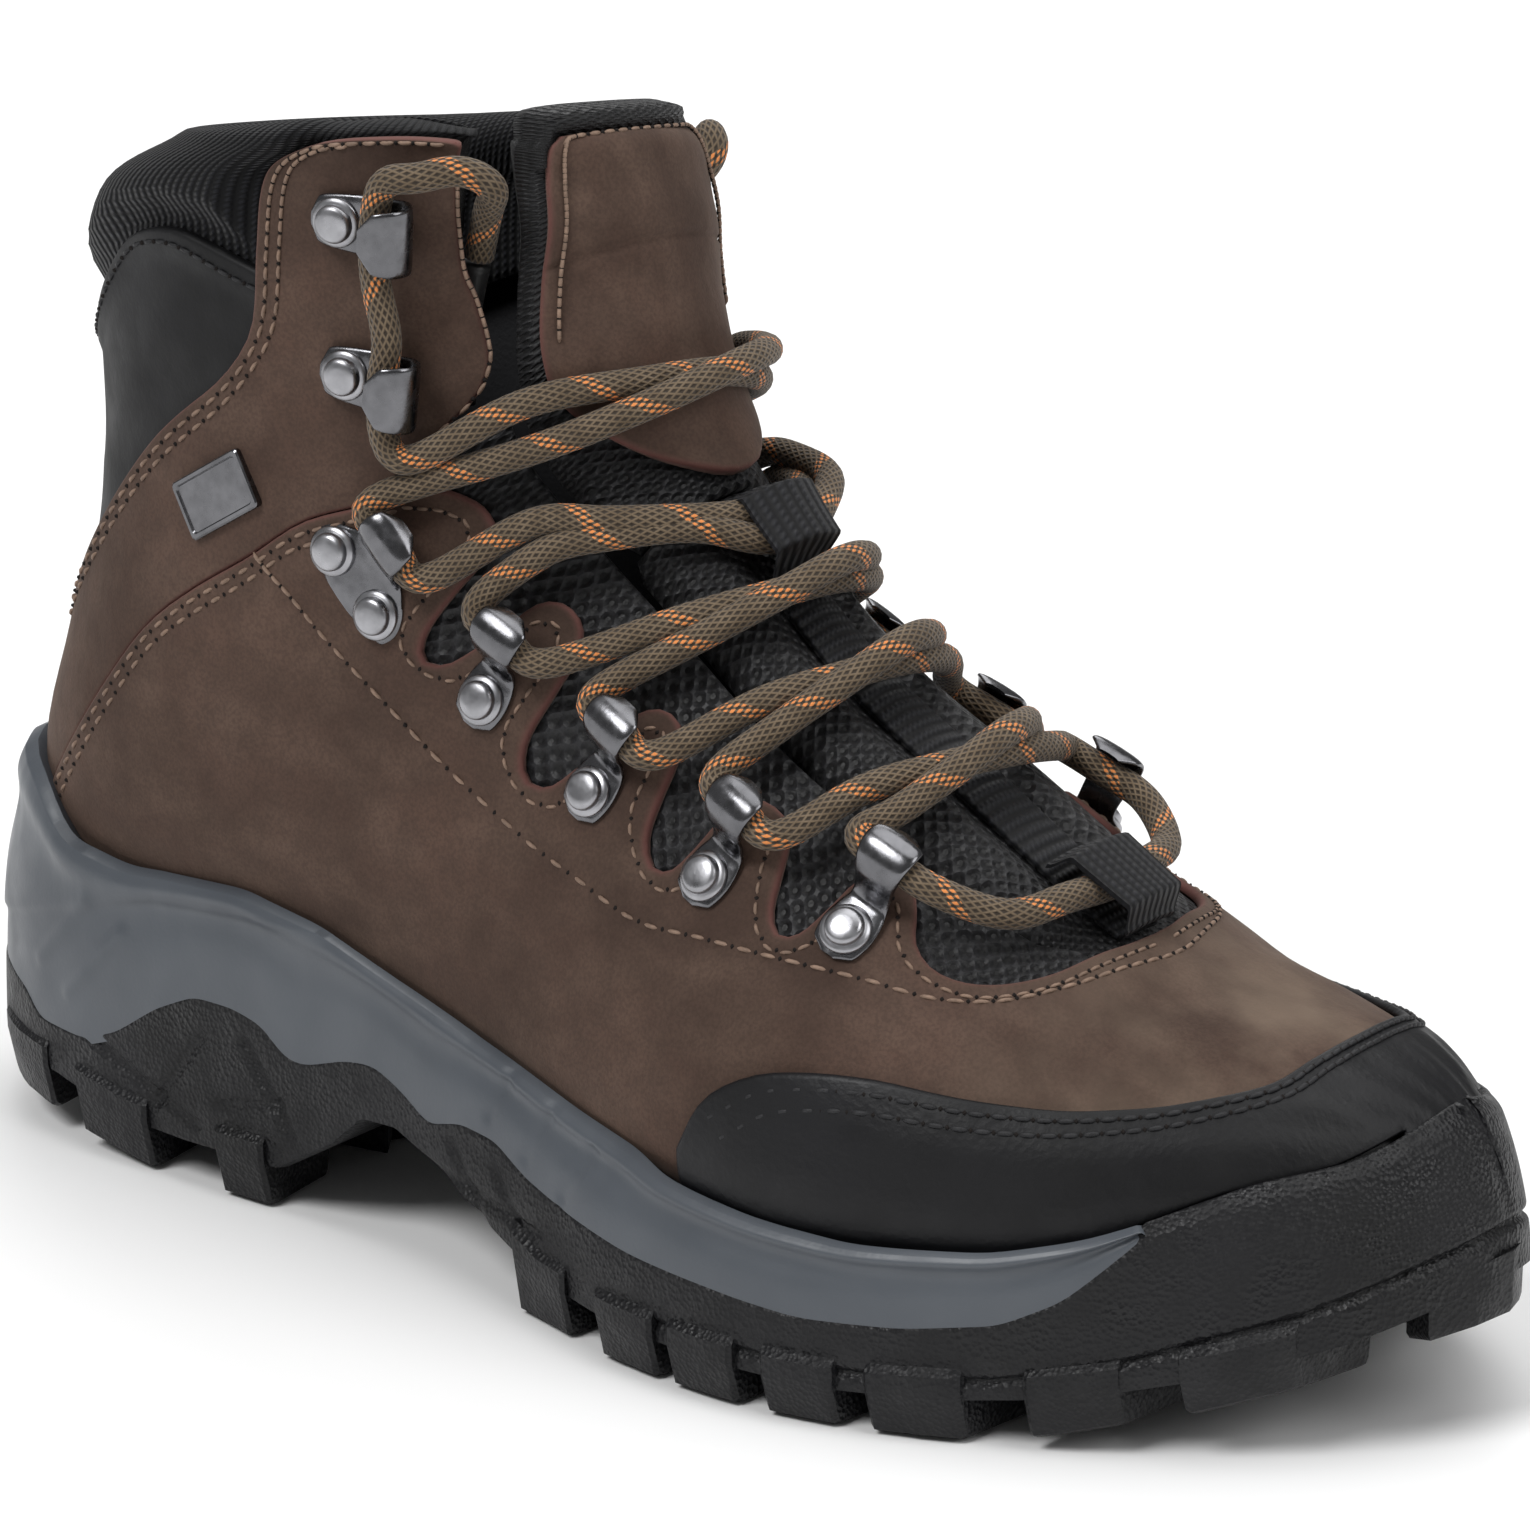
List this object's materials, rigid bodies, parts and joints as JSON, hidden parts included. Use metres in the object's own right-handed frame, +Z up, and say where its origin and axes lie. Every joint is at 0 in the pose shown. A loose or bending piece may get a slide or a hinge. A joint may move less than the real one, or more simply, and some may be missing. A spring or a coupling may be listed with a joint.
{
  "type": "hiking boot",
  "caption": "Right mid-height lace-up hiking boot: nubuck upper on a foam midsole and lugged rubber outsole, metal lace loops and hooks, tongue and lift-out footbed.",
  "frame": {"origin": "on the ground under the centre of the bounding box", "axes": "+X towards the toe, +Y towards the inner (medial) side, +Z up"},
  "size_m": [0.2936, 0.1125, 0.1854],
  "materials": {
    "outsole_rubber": "matt black carbon rubber with a fine pebbled grain and moulded tread blocks",
    "midsole_foam": "satin slate-grey moulded foam",
    "shank_plastic": "moulded stiffening strip, hidden in the sole",
    "board_fabric": "pressed fibre board",
    "footbed_fabric": "black fabric over soft foam",
    "nubuck_leather": "mottled dark brown nubuck, raw cut edges a little pinker, tan thread",
    "nubuck_dark": "smooth black toe rand with black thread",
    "stiffener_plastic": "thin thermoplastic stiffener, hidden",
    "heel_synthetic": "smooth black synthetic leather with a raised stitched border",
    "collar_knit": "black ribbed knit over foam",
    "lining_fabric": "black textile lining",
    "mesh_fabric": "black open air mesh over foam",
    "webbing_fabric": "black ribbed webbing",
    "hardware_metal": "dark satin gunmetal",
    "lace_braid": "round khaki-brown braid with orange flecks",
    "aglet_plastic": "black lace tip"
  },
  "bodies": {
    "boot": {"aglet_lateral": "aglet_plastic", "aglet_medial": "aglet_plastic", "ankle_quarter_lateral": "nubuck_leather", "ankle_quarter_medial": "nubuck_leather", "badge": "hardware_metal", "collar": "collar_knit", "eyelet_lock_lateral": "hardware_metal", "eyelet_lock_medial": "hardware_metal", "eyelet_loop_1_lateral": "hardware_metal", "eyelet_loop_1_medial": "hardware_metal", "eyelet_loop_2_lateral": "hardware_metal", "eyelet_loop_2_medial": "hardware_metal", "eyelet_loop_3_lateral": "hardware_metal", "eyelet_loop_3_medial": "hardware_metal", "eyelet_loop_4_lateral": "hardware_metal", "eyelet_loop_4_medial": "hardware_metal", "gusset_lateral": "mesh_fabric", "gusset_medial": "mesh_fabric", "heel_counter": "stiffener_plastic", "heel_patch": "heel_synthetic", "insole_board": "board_fabric", "lace": "lace_braid", "lace_keeper_bottom": "webbing_fabric", "lace_keeper_top": "webbing_fabric", "lining_lateral": "lining_fabric", "lining_medial": "lining_fabric", "midsole": "midsole_foam", "outsole": "outsole_rubber", "rivet_hook_1_lateral": "hardware_metal", "rivet_hook_1_medial": "hardware_metal", "rivet_hook_2_lateral": "hardware_metal", "rivet_hook_2_medial": "hardware_metal", "rivet_lock_lower_lateral": "hardware_metal", "rivet_lock_lower_medial": "hardware_metal", "rivet_lock_upper_lateral": "hardware_metal", "rivet_lock_upper_medial": "hardware_metal", "rivet_loop_1_lateral": "hardware_metal", "rivet_loop_1_medial": "hardware_metal", "rivet_loop_2_lateral": "hardware_metal", "rivet_loop_2_medial": "hardware_metal", "rivet_loop_3_lateral": "hardware_metal", "rivet_loop_3_medial": "hardware_metal", "rivet_loop_4_lateral": "hardware_metal", "rivet_loop_4_medial": "hardware_metal", "shank": "shank_plastic", "speed_hook_1_lateral": "hardware_metal", "speed_hook_1_medial": "hardware_metal", "speed_hook_2_lateral": "hardware_metal", "speed_hook_2_medial": "hardware_metal", "toe_cap": "nubuck_dark", "toe_puff": "stiffener_plastic", "tongue_lower": "mesh_fabric", "tongue_webbing": "webbing_fabric", "vamp": "nubuck_leather"},
    "tongue_top": {"tongue_upper": "mesh_fabric", "tongue_patch": "nubuck_leather"},
    "footbed": {"footbed": "footbed_fabric"}
  },
  "joints": [
    {"name": "tongue_tilt", "type": "hinge", "parent": "boot", "child": "tongue_top", "pos_m": [-0.0063, 0, 0.1179], "axis": [0, 1, 0], "range_deg": [-4, 0]},
    {"name": "footbed_lift", "type": "hinge", "parent": "boot", "child": "footbed", "pos_m": [0.123, 0, 0.0267], "axis": [0, 1, 0], "range_deg": [0, 10]}
  ]
}
